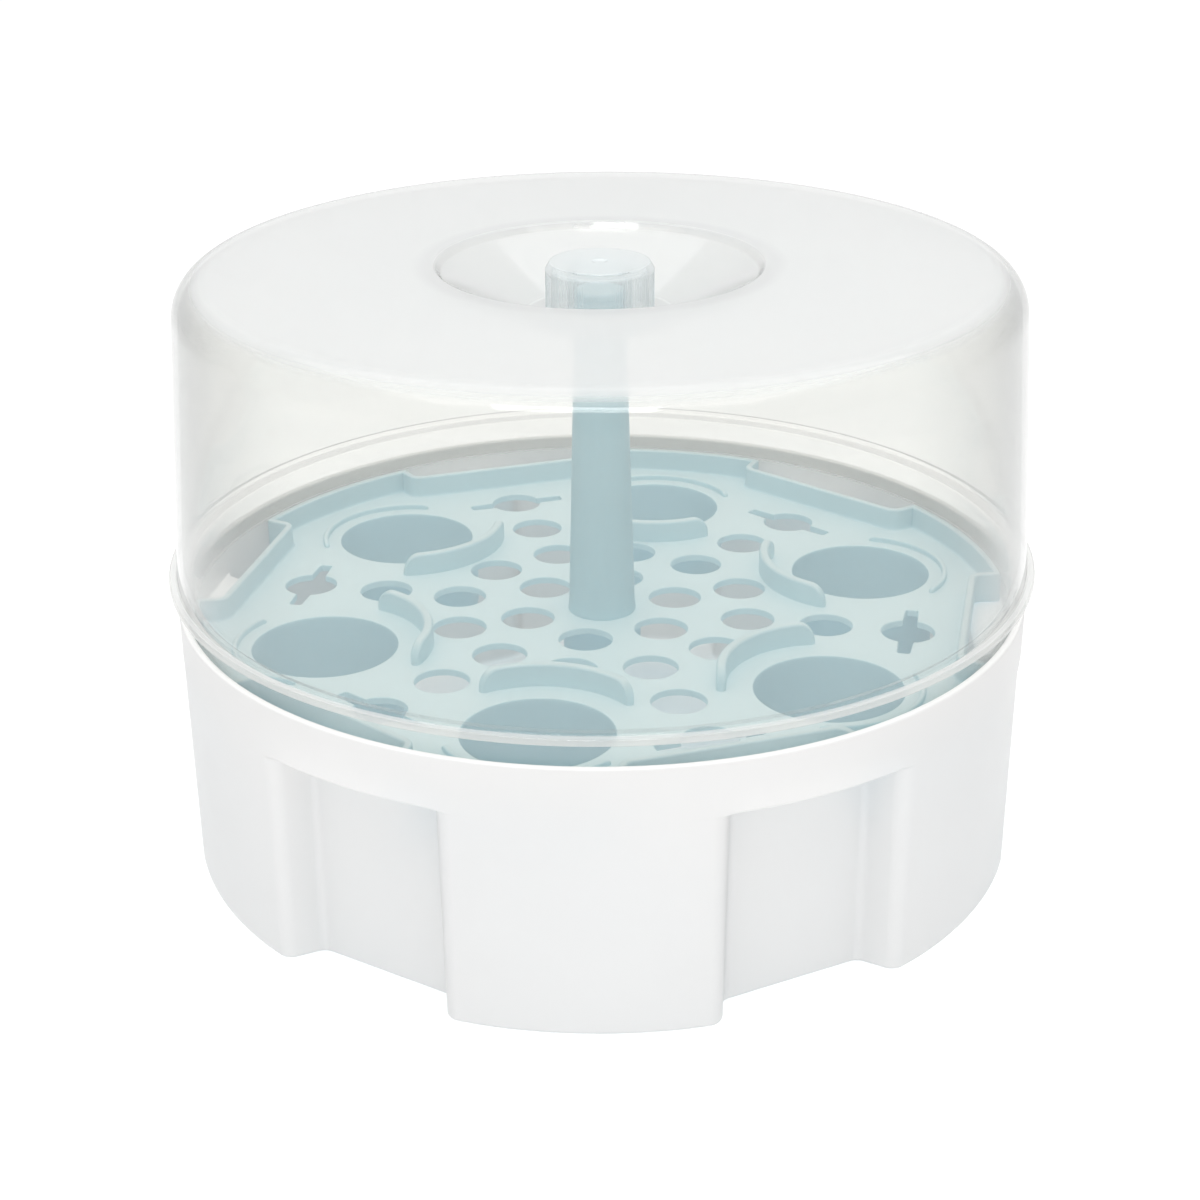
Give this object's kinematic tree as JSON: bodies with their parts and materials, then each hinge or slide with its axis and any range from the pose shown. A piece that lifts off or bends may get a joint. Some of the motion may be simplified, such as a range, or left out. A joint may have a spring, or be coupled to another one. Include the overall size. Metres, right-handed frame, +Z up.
{
  "type": "bottle sterilizer",
  "caption": "Round microwave steam steriliser: white bowl with hand holds, pale teal bottle tray on a centre column, clear lid held down by a clear screw knob.",
  "frame": {"origin": "bottom centre of the bowl, on the floor", "axes": "+Z up, +X through the middle of one hand hold, -Y to the front"},
  "size_m": [0.287, 0.287, 0.1982],
  "materials": {
    "white_plastic": "satin",
    "teal_plastic": "satin",
    "clear_plastic": "clear, slightly milky"
  },
  "bodies": {
    "bowl": {"base_bowl": "white_plastic"},
    "tray": {"bottle_tray": "teal_plastic", "centre_post": "teal_plastic"},
    "lid": {"lid_dome": "clear_plastic"},
    "knob": {"screw_knob": "clear_plastic"}
  },
  "joints": [
    {"name": "tray_lift", "type": "slide", "parent": "bowl", "child": "tray", "axis": [0, 0, 1], "range_m": [0, 0.12]},
    {"name": "lid_lift", "type": "slide", "parent": "tray", "child": "lid", "axis": [0, 0, 1], "range_m": [0, 0.13]},
    {"name": "knob_turn", "type": "hinge", "parent": "lid", "child": "knob", "pos_m": [0, 0, 0.19], "axis": [0, 0, 1], "range_deg": [0, 720]}
  ]
}
